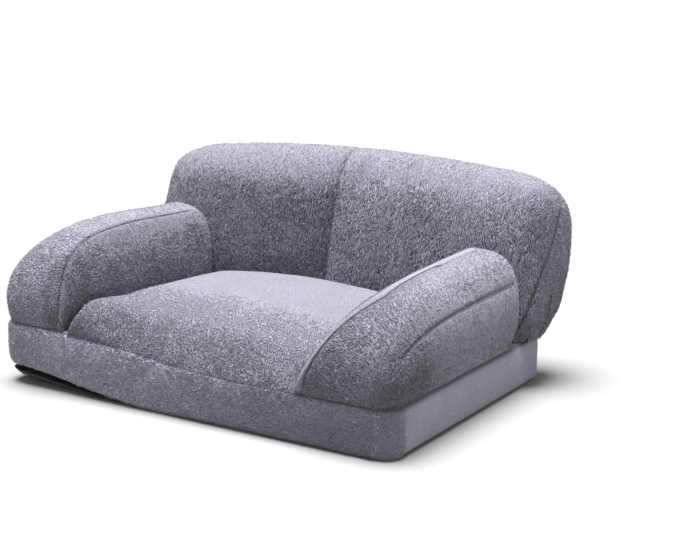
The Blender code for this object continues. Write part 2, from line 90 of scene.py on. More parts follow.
TUFT_LENGTH, TUFT_WIDTH, TUFT_LEAN = (0.0018, 0.0038), 0.00066, 0.30
TUFT_ROOT = 0.0004            # depth of a tuft's root under the surface
SEAM_CLEARANCE = 0.0011       # no tuft grows closer to a seam
THREAD_RADIUS, THREAD_STEP = 0.00042, 0.0011
THREAD_SIDES, THREAD_TWIST, THREAD_STRAND = 6, 1400.0, 0.25
UNDER_INSET = 0.0095          # edge of the underside, in from the outline
DOT_PITCH, DOT_RADIUS = 0.0095, 0.0016

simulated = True


# ---- helpers
joined = np.concatenate


def eased(t):
    """Ease from 0 to 1, flat at both ends: t squared times three minus two t."""
    t = np.clip(t, 0.0, 1.0)
    return t * t * (3 - 2 * t)


def squarish(turn, power):
    """Both coordinates of a superellipse: cosine and sine, each to a power with its sign."""
    return (np.sign(c) * np.abs(c) ** (2 / power) for c in (np.cos(turn), np.sin(turn)))


def bell(x, middle, width):
    """1 at the middle, falling off each way as e to minus the distance in widths, squared."""
    return np.exp(-((x - middle) / width) ** 2)


def quarter(c):
    """Fall of a quarter round at a share c of its way: one minus the root of one minus c
    squared."""
    return 1 - np.sqrt(np.clip(1 - c ** 2, 0, 1))


def size_of(v):
    return np.linalg.norm(v, axis=-1)


def rise(x, y):
    """Height by which the front left corner of the whole sofa curls up off the floor."""
    across = eased((RISE_START_X - x) / (RISE_START_X + HALF_WIDTH))
    return CORNER_RISE * across * eased((BACK_Y - y) / BASE_DEPTH)


def foot_height(x, y):
    """Lower edge of the border: rolled under to the floor, and off it where the corner curls."""
    lift = rise(x, y)
    return np.maximum(FOOT, lift - 0.0055 + 0.0095 * (lift / CORNER_RISE) ** 3)


def crest(x, y):
    """The border stands a little higher along the left part of the front."""
    return 0.0045 * bell(x, -0.095, 0.11) * eased((-0.11 - y) / 0.06)


def stack(x, y, z, lift=True):
    """Points from their coordinates, raised by the corner's curl unless told not to."""
    x, y, z = np.broadcast_arrays(x, y, z)
    return np.stack([x, y, z + rise(x, y) if lift else z], axis=-1)


def run_of(path):
    """Length along a path from its start to each of its points."""
    return joined([[0], np.cumsum(size_of(np.diff(path, axis=0)))])


def averaged(path):
    """A path with each inner point at the mean of itself and its two neighbours."""
    return joined([path[:1], (path[:-2] + path[1:-1] + path[2:]) / 3, path[-1:]])


def even(curve, spacing):
    """Parameters from 0 to 1 at even steps of length along curve(t), and how many."""
    t = np.linspace(0, 1, 3001)
    length = run_of(curve(t))
    count = max(int(round(length[-1] / spacing)), 6) + 1
    return np.interp(np.linspace(0, length[-1], count), length, t)


def unit(v):
    return v / np.maximum(size_of(v), 1e-12)[..., None]


def directions(net, wrap=False):
    """Steps along both ways of a net and its outward unit normal, by central differences."""
    first = (np.roll(net, -1, 0) - np.roll(net, 1, 0)) / 2 if wrap else np.gradient(net, axis=0)
    second = np.gradient(net, axis=1)
    normal = unit(np.cross(first, second))
    outward = ((net - net.reshape(-1, 3).mean(0)) * normal).sum()
    return first, second, normal if outward > 0 else -normal


def sampled(field, i, j, wrap=False):
    """Value of a field on a net at fractional places i, j: a mix of the four points round it."""
    n, m = field.shape[:2]
    i = i % n if wrap else np.clip(i, 0, n - 1.001)
    j = np.clip(j, 0, m - 1.001)
    a, b = np.floor(i).astype(int), np.floor(j).astype(int)
    p, q = i - a, j - b
    if field.ndim == 3:
        p, q = p[..., None], q[..., None]
    c = (a + 1) % n if wrap else a + 1
    return (field[a % n, b] * (1 - p) * (1 - q) + field[c, b] * p * (1 - q)
            + field[a % n, b + 1] * (1 - p) * q + field[c, b + 1] * p * q)


def soft_noise(shape, cells, rng, wrap=False):
    """Smooth random field between about -1 and 1: random values on a coarse net, eased."""
    n, m = shape
    rows = max(int(n / cells), 3)
    columns = max(int(m / cells), 3)
    coarse = rng.uniform(-1, 1, (rows, columns))
    i = np.arange(n) * (rows / n if wrap else (rows - 1.01) / n)
    j = np.arange(m) * (columns - 1.01) / m
    i = np.floor(i) + eased(i - np.floor(i))
    j = np.floor(j) + eased(j - np.floor(j))
    return sampled(coarse, i[:, None] + 0 * j, j + 0 * i[:, None], wrap)


# ---- meshes
def placed(name, data):
    """New object holding some data, in the scene."""
    made = bpy.data.objects.new(name, data)
    bpy.context.scene.collection.objects.link(made)
    return made


def single(values):
    return np.asarray(values, np.float32).ravel()


def filled(name, points, corners, sizes, spots=None):
    """Mesh from its points, the point numbers round its faces, each face's number of corners,
    and where each corner lies on the texture map."""
    mesh = bpy.data.meshes.new(name)
    mesh.vertices.add(points.size // 3)
    mesh.vertices.foreach_set("co", single(points))
    mesh.loops.add(len(corners))
    mesh.loops.foreach_set("vertex_index", corners.astype(np.int32))
    mesh.polygons.add(len(sizes))
    starts = joined([[0], np.cumsum(sizes)[:-1]])
    mesh.polygons.foreach_set("loop_start", starts.astype(np.int32))
    mesh.update(calc_edges=True)
    if spots is not None:
        mesh.uv_layers.new(name="OFBake").uv.foreach_set("vector", single(spots))
    return mesh


def face_out(mesh, inward, even_out=True):
    """Make a mesh's faces agree, and turn them all over if inward(bm) finds them wrong."""
    bm = bmesh.new()
    bm.from_mesh(mesh)
    if even_out:
        bmesh.ops.recalc_face_normals(bm, faces=bm.faces)
    if inward(bm):
        bmesh.ops.reverse_faces(bm, faces=bm.faces)
    bm.to_mesh(mesh)
    bm.free()


def mesh_of(name, net, material, wrap=False, loops=()):
    """Mesh of a net of points, closed by one flat face for each loop of its point numbers."""
    n, m = net.shape[:2]
    rows = n if wrap else n - 1
    i, j = (a.ravel() for a in np.meshgrid(np.arange(rows), np.arange(m - 1), indexing="ij"))
    k = (i + 1) % n
    quads = np.stack([i * m + j, k * m + j, k * m + j + 1, i * m + j + 1], axis=1)
    grid_u = np.stack([i, i + 1, i + 1, i], axis=1) / rows * NET_SHARE
    grid_v = np.stack([j, j, j + 1, j + 1], axis=1) / (m - 1) * NET_SHARE
    places = [np.stack([grid_u, grid_v], -1).reshape(-1, 2)]
    corners, sizes = [quads.ravel()], [np.full(len(quads), 4)]
    flat = net.reshape(-1, 3)
    for loop in loops:
        corners.append(loop)
        sizes.append([len(loop)])
        spot = flat[loop][:, :2] + flat[loop][:, 2:]
        low, high = spot.min(0), spot.max(0)
        places.append(NET_SHARE + 0.01 + 0.03 * (spot - low) / np.maximum(high - low, 1e-6))
    mesh = filled(name, flat, joined(corners), joined(sizes),
                  joined(places))
    mesh.validate()
    if loops:
        face_out(mesh, lambda bm: bm.calc_volume(signed=True) < 0)
    mesh.shade_smooth()
    if material:
        mesh.materials.append(material)
    return placed(name, mesh)


def keep_value(piece, name, values):
    """Keep a number at each point, for its material to read."""
    held = piece.data.attributes.new(name, "FLOAT", "POINT")
    padding = np.zeros(len(piece.data.vertices))
    padding[:values.size] = values.ravel()
    held.data.foreach_set("value", single(padding))


def keep_chart(piece, net, lie):
    """Flat chart of a net in metres, turned so that its second way is the way the pile lies."""
    first, second, _ = directions(net)
    step_i, step_j = size_of(first).mean(), size_of(second).mean()
    i, j = np.meshgrid(np.arange(net.shape[0]) * step_i, np.arange(net.shape[1]) * step_j,
                       indexing="ij")
    turn = math.radians(lie)
    chart = np.stack([i * math.sin(turn) - j * math.cos(turn),
                      i * math.cos(turn) + j * math.sin(turn), 0 * i], -1)
    held = piece.data.attributes.new("chart", "FLOAT_VECTOR", "POINT")
    held.data.foreach_set("vector", single(chart))


def twisted(name, path):
    """Closed thread along a path: a ring carried along it, its radius swelling with a twist
    and tapering at both ends."""
    along = unit(np.gradient(path, axis=0))
    up = np.where(np.abs(along[:, 2:]) > 0.9, [[1.0, 0, 0]], [[0, 0, 1.0]])
    side = unit(np.cross(along, up))
    other = np.cross(side, along)
    m = len(path)
    angle = np.linspace(0, 2 * np.pi, THREAD_SIDES, endpoint=False)[:, None]
    turned = angle - THREAD_TWIST * run_of(path)
    size = THREAD_RADIUS * (1 + THREAD_STRAND * np.cos(2 * turned))
    taper = np.minimum(1, np.minimum(np.arange(m), np.arange(m)[::-1]) / 2 + 0.2)
    ring = np.cos(angle)[..., None] * side + np.sin(angle)[..., None] * other
    first = np.arange(THREAD_SIDES) * m
    return mesh_of(name, path + ring * (size * taper)[..., None], LOOKS["thread"], wrap=True,
                   loops=[first, first[::-1] + m - 1])


# ---- blowing up
def swollen(net, pinned, wrap=False):
    """Movement of a coarse net under pressure from inside, its pinned points held still."""
    shell = mesh_of("swelling", net, None, wrap)
    _, _, normal = directions(net, wrap)
    wanted = normal.reshape(-1, 3)

    def inward(bm):
        bm.normal_update()
        bm.verts.ensure_lookup_table()
        return sum(bm.verts[k].normal.dot(Vector(wanted[k]))
                   for k in range(0, len(bm.verts), 37)) < 0

    face_out(shell.data, inward, even_out=False)
    group = shell.vertex_groups.new(name="held")
    group.add([int(k) for k in np.flatnonzero(pinned.ravel())], 1.0, "REPLACE")
    cloth = shell.modifiers.new("cloth", "CLOTH")
    settings = cloth.settings
    for key, value in (("quality", 5), ("mass", 0.02), ("vertex_group_mass", "held"),
                       ("use_pressure", True), ("uniform_pressure_force", PRESSURE),
                       ("tension_stiffness", 3.0), ("compression_stiffness", 3.0),
                       ("shear_stiffness", 1.5), ("bending_stiffness", 0.1)):
        setattr(settings, key, value)
    settings.effector_weights.gravity = 0.0
    cloth.collision_settings.use_collision = False
    cloth.point_cache.frame_start, cloth.point_cache.frame_end = 1, SOLVER_STEPS
    scene = bpy.context.scene
    for step in range(1, SOLVER_STEPS + 1):
        scene.frame_set(step)
    settled = shell.evaluated_get(bpy.context.evaluated_depsgraph_get())
    after = np.empty(net.size, np.float32)
    settled.data.vertices.foreach_get("co", after)
    bpy.data.objects.remove(shell)
    scene.frame_set(1)
    move = after.reshape(net.shape) - net
    return move * np.minimum(1, SWELL_CAP / np.maximum(size_of(move), 1e-9))[..., None]


def blurred(field, times, wrap=False):
    """Each point mixed with its neighbours, a number of times."""
    for _ in range(times):
        before, after = (field[-1:], field[:1]) if wrap else (field[:1], field[-1:])
        wide = joined([before, field, after])
        field = (wide[:-2] + 2 * wide[1:-1] + wide[2:]) / 4
        wide = joined([field[:, :1], field, field[:, -1:]], axis=1)
        field = (wide[:, :-2] + 2 * wide[:, 1:-1] + wide[:, 2:]) / 4
    return field


def padded_net(shape_of, seams_of, wrap, depths, inset, cell):
    """Fine net of a cushion: its plain form, a little small, plus the solver's swelling read
    from a coarse net, drawn in along its seams. Also the distance to the nearest seam."""
    net, coarse = shape_of(cell), shape_of(COARSE)
    _, _, normal = directions(net, wrap)
    _, _, coarse_normal = directions(coarse, wrap)
    away = seam_distance(net, seams_of)
    if simulated:
        start = coarse - coarse_normal * inset
        pinned = seam_distance(start, seams_of) < COARSE * 0.75
        pinned[:, 0] = pinned[:, -1] = True
        if not wrap:
            pinned[0] = pinned[-1] = True
        move = blurred(swollen(start, pinned, wrap), 1, wrap)
    else:
        bulge = 1 - np.exp(-seam_distance(coarse, seams_of) / 0.02)
        move = coarse_normal * (bulge * 0.0045)[..., None]
    last = 0 if wrap else 1
    i = np.arange(net.shape[0]) * (coarse.shape[0] - last) / (net.shape[0] - last)
    j = np.arange(net.shape[1]) * (coarse.shape[1] - 1) / (net.shape[1] - 1)
    move = sampled(move, i[:, None] + 0 * j, j + 0 * i[:, None], wrap)
    move = blurred(move, 6, wrap)
    draw = depths[0] * bell(away, 0, 0.0017) + depths[1] * np.exp(-away / 0.006)
    return net - normal * (inset + draw)[..., None] + move, away


def seam_distance(net, seams_of):
    """Distance from each point of a net to the nearest point of the seam lines."""
    nearest = np.full(net.shape[:2], 1.0)
    for seam in seams_of:
        for k in range(0, len(seam), 24):
            part = seam[k:k + 24]
            low, high = part.min(0) - 0.04, part.max(0) + 0.04
            close = np.all((net > low) & (net < high), axis=-1)
            if close.any():
                gap = size_of(net[close][:, None] - part[None]).min(1)
                nearest[close] = np.minimum(nearest[close], gap)
    return nearest


# ---- pile
def strokes(net, angle, rng, length, wrap=False):
    """Streaky random field: noise averaged along the pile's direction, which is an angle from
    the net's first way towards its second, so each streak is long that way and thin across."""
    first, second, _ = directions(net, wrap)
    size_a, size_b = np.maximum(size_of(first), 1e-5), np.maximum(size_of(second), 1e-5)
    noise = rng.standard_normal(net.shape[:2])
    i, j = np.meshgrid(np.arange(net.shape[0]), np.arange(net.shape[1]), indexing="ij")
    total = np.zeros(net.shape[:2])
    reach = int(length / CELL / 2) + 1
    for k in range(-reach, reach + 1):
        step = k * CELL
        total += sampled(noise, i + step * np.cos(angle) / size_a,
                         j + step * np.sin(angle) / size_b, wrap)
    return total / total.std()


def tufts(name, net, angle, count, rng, density, painted_shading, wrap):
    """Small closed spikes lying along the pile: each a triangle at its root, drawn out to a
    point along the pile's direction, turned a little at random and tilted off the surface."""
    first, second, normal = directions(net, wrap)
    weight = size_of(np.cross(first, second)) * density
    weight[:, :1] = weight[:, -1:] = 0
    if not wrap:
        weight[:1] = weight[-1:] = 0
    odds = np.cumsum(weight.ravel())
    spot = np.searchsorted(odds, rng.uniform(0, odds[-1], count))
    i = spot // net.shape[1] + rng.uniform(-0.5, 0.5, count)
    j = spot % net.shape[1] + rng.uniform(-0.5, 0.5, count)
    root, up = sampled(net, i, j, wrap), unit(sampled(normal, i, j, wrap))
    way_a, way_b = unit(sampled(first, i, j, wrap)), unit(sampled(second, i, j, wrap))
    turn = sampled(angle, i, j, wrap) + rng.normal(0, 0.26, count)
    along = unit(way_a * np.cos(turn)[:, None] + way_b * np.sin(turn)[:, None])
    side = np.cross(up, along)
    size = rng.uniform(*TUFT_LENGTH, count)[:, None]
    half = (TUFT_WIDTH * rng.uniform(0.7, 1.3, count) / 2)[:, None]
    tilt = np.abs(rng.normal(TUFT_LEAN, 0.12, count))[:, None]
    tip = root + along * size * np.cos(tilt) + up * size * np.sin(tilt)
    deep = up * TUFT_ROOT
    points = np.stack([root + side * half - deep, root - side * half - deep,
                       root - along * half + up * half * 1.3, tip], axis=1)
    points[..., 2] = np.maximum(points[..., 2], 0.0002)
    faces = np.array([[0, 2, 3], [2, 1, 3], [1, 0, 3], [0, 1, 2]])
    corners = (np.arange(count)[:, None, None] * 4 + faces[None]).reshape(-1)
    # on the texture map, each tuft has a square of its own
    columns = math.ceil(math.sqrt(count))
    square = np.stack([np.arange(count) % columns, np.arange(count) // columns], -1)
    inside = np.array([[0.1, 0.1], [0.9, 0.1], [0.5, 0.9], [0.5, 0.4]])
    spots = ((square[:, None] + inside[None]) / columns).reshape(-1, 2)
    mesh = filled(name, points, corners, np.full(count * 4, 3), spots[corners])
    mesh.materials.append(LOOKS["tufts"])
    piece = placed(name, mesh)
    shade = np.repeat(rng.uniform(-0.7, 0.7, count), 4)
    # painted highlight towards each tuft's tip, painted shade at the two corners of its root
    shade[3::4] += 0.35
    shade[0::4] -= 0.35
    shade[1::4] -= 0.35
    keep_value(piece, "pile", shade)
    # painted light and shade, read at each tuft's root, as on the cushion under it
    keep_value(piece, "painted_shading", np.repeat(sampled(painted_shading, i, j, wrap), 4))
    return piece


# ---- forms
def arm_section(t):
    """Arm's section: a superellipse from its inner foot over the top to its outer foot."""
    across, up = squarish(np.pi * t, ARM_POWER)
    return np.stack([-ARM_HALF * across, ARM_HEIGHT * up], -1)


def arm_length(t):
    """Arm's side view: a quarter of a squarer superellipse from the backrest to the nose."""
    up, forward = squarish(np.pi / 2 * t, NOSE_POWER)
    return np.stack([0.26 * forward, ARM_HEIGHT * up], -1)


def back_surface(across, up, x):
    """Leaning backrest: across runs -1 in front to 1 behind, up runs 0 to 1; the top line
    falls with the square of x, and the section closes in a little at both ends."""
    end = np.abs(x) / BACK_END
    shrink = 1 - 0.15 * end ** 10
    height = (BACK_HEIGHT - BACK_ARCH * end ** 2) * shrink
    z = BORDER_TOP + height * up
    share = (z - BORDER_TOP) / BACK_HEIGHT
    middle = BACK_FOOT_MIDDLE + BACK_LEAN * (z - BORDER_TOP)
    front = BACK_HALF + BACK_FRONT_SWELL * share
    rear = BACK_HALF + BACK_REAR_SWELL * eased(share / 0.4)
    half = np.where(across > 0, rear, front)
    return middle + half * across * shrink, z


def join_depth(z):
    """Front face of the backrest at a height, where the arms butt against it."""
    share = np.clip((z - BORDER_TOP) / BACK_HEIGHT, 0, 1)
    middle = BACK_FOOT_MIDDLE + BACK_LEAN * (z - BORDER_TOP)
    return middle - (BACK_HALF + BACK_FRONT_SWELL * share) * (
        1 - share ** BACK_POWER) ** (1 / BACK_POWER) - 0.0006


def plan_half_width(y):
    """Half width of the base's rounded plan at a depth."""
    into = np.maximum(CORNER_RADIUS - np.minimum(y - FRONT_Y, BACK_Y - y), 0)
    drop = CORNER_RADIUS - np.sqrt(np.maximum(CORNER_RADIUS ** 2 - into ** 2, 0))
    return HALF_WIDTH - 0.0005 - drop


def arm_at(side, section, forward_turn):
    """Points of an arm for a turn round its section and a turn down its nose."""
    across, up = squarish(section, ARM_POWER)
    fall, forward = squarish(forward_turn, NOSE_POWER)
    across, up = -across, up * fall
    z = BORDER_TOP - 0.001 + (ARM_HEIGHT + 0.001) * up
    rear = join_depth(z)
    y = rear - (rear - ARM_FRONT) * forward
    outer = np.minimum(ARM_HALF, plan_half_width(y) - ARM_MIDDLE)
    half = np.where(across > 0, outer, ARM_HALF)
    x = ARM_MIDDLE + half * across
    x = x + 0.0035 * eased((across - 0.4) / 0.5) * eased((z - BORDER_TOP) / 0.03)
    tuck = 0.0030 * (1 - np.clip((z - BORDER_TOP) / 0.020, 0, 1)) ** 2
    x = x - tuck * eased(across * 1.5)
    y = y + tuck * 0.6 * eased((forward - 0.5) * 3)
    z = z + up * np.where(side < 0, 0.0075 + 0.0075 * across, -0.004 * across)
    # the right nose spreads inwards at its foot, the left one is narrower there
    spread = eased((forward - 0.5) / 0.5) * (1 - up) ** 1.2 * np.clip(-across, 0, 1)
    x = x - (0.016 if side > 0 else -0.007) * spread
    z = z + crest(side * x, y) * (1 - up)
    closing = np.clip(1 - (rear - y) / 0.009, 0, 1)
    inward = 0.009 * quarter(closing)
    middle_z = BORDER_TOP + 0.5 * (z - BORDER_TOP)
    x = x + (ARM_MIDDLE - x) * inward / ARM_HALF
    z = z + (middle_z - z) * inward / 0.05 * up
    return stack(side * x, y, z)


def arm_form(side):
    """Net of an arm: round its section, and along it from the backrest down to the nose."""
    def form(spacing):
        section = np.pi * even(arm_section, spacing)[:, None]
        along = np.pi / 2 * even(arm_length, spacing)[None, :]
        return arm_at(side, section + 0 * along, along + 0 * section)
    return form


def inner_turn(t, side):
    """Turn of the inner top seam round the section, falling towards the nose."""
    if side > 0:
        return np.radians(87) * (1 - 0.56 * eased((t - 0.35) / 0.65))
    return np.radians(79) * (1 - 0.50 * eased((t - 0.35) / 0.65))


def arm_seams(side):
    """An arm's two long seams, as turns round its section; the outer one ends sooner."""
    t = np.linspace(0.005, 0.985, 260)
    inner = arm_at(side, inner_turn(t, side), np.pi / 2 * t)
    outer = arm_at(side, np.radians(142) + 0 * t, np.pi / 2 * t)
    return inner, outer[:int(len(t) * 0.66)]


def back_ring(t):
    """Section of the backrest at its middle, from its front foot over the top to its rear."""
    across, up = squarish(np.pi * t, BACK_POWER)
    return np.stack(back_surface(-across, up, 0 * t), -1)


def back_form(spacing):
    """Backrest net: its first way runs from the middle of the left end, out over that end's
    dome, along the sofa and in over the right end; its second way runs round the section.
    The front turns back to each end in a quarter round, and the ends swell with height."""
    turn = np.pi * even(back_ring, spacing)[None, :]
    ring = np.linspace(0.05, 0.985, max(int(0.095 / spacing), 5))
    count = int(round(2 * BACK_END / spacing))
    crowded = np.sin(np.linspace(-1, 1, count) * 1.35) / math.sin(1.35)
    between = 0.5 * crowded + 0.5 * np.linspace(-1, 1, count)
    end = np.ones(len(ring))
    x = joined([-end, between, end])[:, None] * BACK_END
    share = joined([ring, np.ones(count), ring[::-1]])[:, None]
    across, up = squarish(turn, BACK_POWER)
    across, up = -across * share, up * share
    y, z = back_surface(across, up, x + 0 * turn)
    height = (z - BORDER_TOP) / BACK_HEIGHT
    # quarter rounds where the front, the top and the rear turn to an end
    near_end = np.clip((np.abs(x) - BACK_END) / END_ROUND + 1, 0, 1)
    round_off = quarter(0.93 * near_end)
    front = np.clip(-across, 0, 1) ** 0.7
    y = y + END_ROUND * (0.35 + 0.45 * height) * round_off * front
    sharp = np.clip((np.abs(x) - BACK_END + 0.016) / 0.016, 0, 1)
    rear_off = quarter(0.93 * sharp)
    y = y - 0.010 * rear_off * np.clip(across, 0, 1) ** 0.7
    z = z - 0.009 * rear_off * up ** 3
    # ends: domed, wider with height, and the rear reaches further out there
    dome = 0.006 * (1 - share ** 3)
    low = eased((height + 0.12) / 0.30)
    x = x + np.sign(x) * (dome + 0.0150 * eased(np.abs(x) / BACK_END * 2 - 1) * low)
    y = y + (0.014 + 0.008 * eased(height / 0.5)) * low * np.clip(across, 0, 1) * eased(
        np.abs(x) / BACK_END * 3 - 2)
    tuck = 0.004 * (1 - np.clip((z - BORDER_TOP) / 0.022, 0, 1)) ** 2
    y = y - tuck * (share > 0.9) * across
    return stack(x, y, z)


def back_seams():
    """The backrest's centre seam, the long seam along its rear top edge, and its end seams."""
    t = np.linspace(0.02, 1, 200) * REAR_SEAM_TURN
    across, up = squarish(t, BACK_POWER)
    y, z = back_surface(-across, up, 0 * t)
    centre = stack(0 * t, y, z)
    net = back_form(0.002)
    flat = net.reshape(-1, 3)
    turn = np.pi * even(back_ring, 0.002)
    row = int(np.argmin(np.abs(turn - REAR_SEAM_TURN)))
    inside = np.abs(net[:, row, 0]) < 0.236
    rear = net[inside, row][3:-3]
    ends = []
    for side in (-1, 1):
        # from the rear top corner slanting down to the front foot, read on the end itself
        t = np.linspace(0, 1, 160)
        y = 0.168 - 0.084 * t - 0.012 * np.sin(np.pi * t)
        z = 0.199 - 0.141 * t
        part = flat[flat[:, 0] * side > 0.19]
        guide = np.stack([y, z + rise(side * 0.24 + 0 * t, y)], -1)
        near = size_of(guide[:, None] - part[None, :, 1:])
        near = near + 0.6 * np.maximum(0.232 - np.abs(part[:, 0]), 0)[None]
        ends.append(averaged(part[np.argmin(near, axis=1)]))
    return centre, rear, ends[0], ends[1]


def seat_form(spacing):
    """Seat net: across it and from the backrest to the front seam. Its height is the crown
    times the sideways fall, times the superellipse down its front, times quarter rounds at
    its two sides and its back."""
    def depth(t):
        fall, forward = squarish(np.pi / 2 * t, SEAT_POWER)
        return np.stack([0.256 * forward, SEAT_CROWN * fall], -1)
    fall, forward = squarish(np.pi / 2 * even(depth, spacing), SEAT_POWER)
    steps = max(int(0.03 / spacing), 4)
    turn = np.linspace(0, np.pi / 2, steps)
    back_in, back_up = 0.05 * (1 - np.cos(turn)), np.sin(turn)
    keep = forward > 0.05
    forward = joined([back_in, forward[keep]])[None, :]
    fall = joined([back_up * fall[~keep].mean(), fall[keep]])[None, :]
    side_in, side_up = 0.075 * (1 - np.cos(turn)), np.sin(turn)
    middle = np.linspace(-0.925, 0.925, int(0.271 / spacing))[1:-1]
    across = joined([-1 + side_in, middle, (1 - side_in)[::-1]])[:, None]
    side = joined([side_up, np.ones(len(middle)), side_up[::-1]])[:, None]
    front = FRONT_Y + 0.0010
    y = SEAT_BACK - (SEAT_BACK - front) * forward
    x = SEAT_HALF_WIDTH * across
    crown = SEAT_CROWN * (1 - SEAT_SIDE_DROP * across ** 2)
    full = fall * side
    plump = 0.015 * bell(across, -0.9, 0.28) * bell(forward, 0.93, 0.15)
    z = BORDER_TOP - 0.005 + (crown + 0.005) * full + plump * full ** 0.4
    return stack(x, y, z + crest(x, y) * (1 - full))


def outline(inset, spacing):
    """Plan of the base from the middle of its rear, leftwards all the way round: the corners'
    centre lines, each pushed out by the corner radius less the inset along its own angle."""
    near_x = HALF_WIDTH - CORNER_RADIUS
    near_y, far_y = FRONT_Y + CORNER_RADIUS, BACK_Y - CORNER_RADIUS
    arc = CORNER_RADIUS * np.pi / 2
    stops = [(0, far_y, 90, 0), (-near_x, far_y, 90, near_x), (-near_x, far_y, 180, arc),
             (-near_x, near_y, 180, far_y - near_y), (-near_x, near_y, 270, arc),
             (near_x, near_y, 270, 2 * near_x), (near_x, near_y, 360, arc),
             (near_x, far_y, 360, far_y - near_y), (near_x, far_y, 450, arc),
             (0, far_y, 450, near_x)]
    stops = np.array(stops, float)
    length = np.cumsum(stops[:, 3])
    count = int(round(length[-1] / spacing))
    s = np.linspace(0, length[-1], count, endpoint=False)[:, None]
    x, y, angle = (np.interp(s, length, stops[:, k]) for k in range(3))
    plump = bell(angle, 135, 25) + bell(angle, 405, 25)
    radius = CORNER_RADIUS - inset + 0.0048 * plump
    angle = np.radians(angle)
    return x + radius * np.cos(angle), y + radius * np.sin(angle)


def border_profile(t):
    """Section of the border: a squarish superellipse, standing out in the middle and rolling
    in at the top and the bottom; gives how far it is in, and its height from -1 to 1."""
    out, up = squarish(np.pi * (t - 0.5), BORDER_POWER)
    return BORDER_ROLL * (1 - out), up


def base_at(inset, up, spacing):
    """Border points that far in, and that high between its lower edge and its crest."""
    x, y = outline(inset, spacing)
    low = foot_height(x, y)
    return x, y, low + (BORDER_TOP + crest(x, y) + rise(x, y) - low) * (up + 1) / 2


def base_form(spacing):
    """Border of the base: its plan carried round the border's section, with the open slot
    for the zip across the back."""
    def measured(t):
        inset, up = border_profile(t)
        return np.stack([inset, up * (BORDER_TOP - FOOT) / 2], -1)
    t = even(measured, spacing)
    middle, half = (BORDER_TOP + FOOT) / 2, (BORDER_TOP - FOOT) / 2
    edges = (ZIP_HEIGHT + np.array([-0.5, 0.5]) * ZIP_OPENING - middle) / half
    fine = spacing < 0.003
    if fine:
        up = border_profile(t)[1]
        clear = np.min(np.abs(up[:, None] - edges[None]), axis=1) > 0.035
        turns = np.arcsin(np.sign(edges) * np.abs(edges) ** (BORDER_POWER / 2)) / np.pi + 0.5
        nudge = 0.004
        t = np.sort(joined([t[clear], turns, turns + [nudge, -nudge]]))
    inset, up = border_profile(t[None, :])
    x, y, z = base_at(inset, up, spacing)
    inside = (up > edges[0] + 1e-4) & (up < edges[1] - 1e-4)
    slot = (y > BACK_Y - 0.012) & (np.abs(x) < ZIP_REACH) & inside & fine
    y = np.where(slot, y - 0.0062, y)
    # last ring turned in and up, so that the closing face lies over the underside
    under_x, under_y = outline(np.array([[0.020]]), spacing)
    under_z = foot_height(under_x, under_y) + 0.005
    x, y, z = (joined([extra, field], axis=1)
               for extra, field in ((under_x, x), (under_y, y), (under_z, z)))
    return stack(x, y, z, lift=False)


def base_seams():
    """Corner seams of the border, a little round from the front, and its two edge seams."""
    seams = []
    for corner in (-1, 1):
        inset, up = border_profile(np.linspace(0.12, 0.88, 70))
        angle = np.radians(270 + corner * 14)
        x = corner * (HALF_WIDTH - CORNER_RADIUS) + (CORNER_RADIUS - inset) * np.cos(angle)
        y = FRONT_Y + CORNER_RADIUS + (CORNER_RADIUS - inset) * np.sin(angle)
        low = foot_height(x, y)
        seams.append(stack(x, y, low + (BORDER_TOP + rise(x, y) - low) * (up + 1) / 2, lift=False))
    for place in (0.13, 0.87):
        inset, up = border_profile(np.array([[place]]))
        x, y, z = base_at(inset, up, 0.003)
        seams.append(stack(x, y, z, lift=False)[:, 0])
    return seams


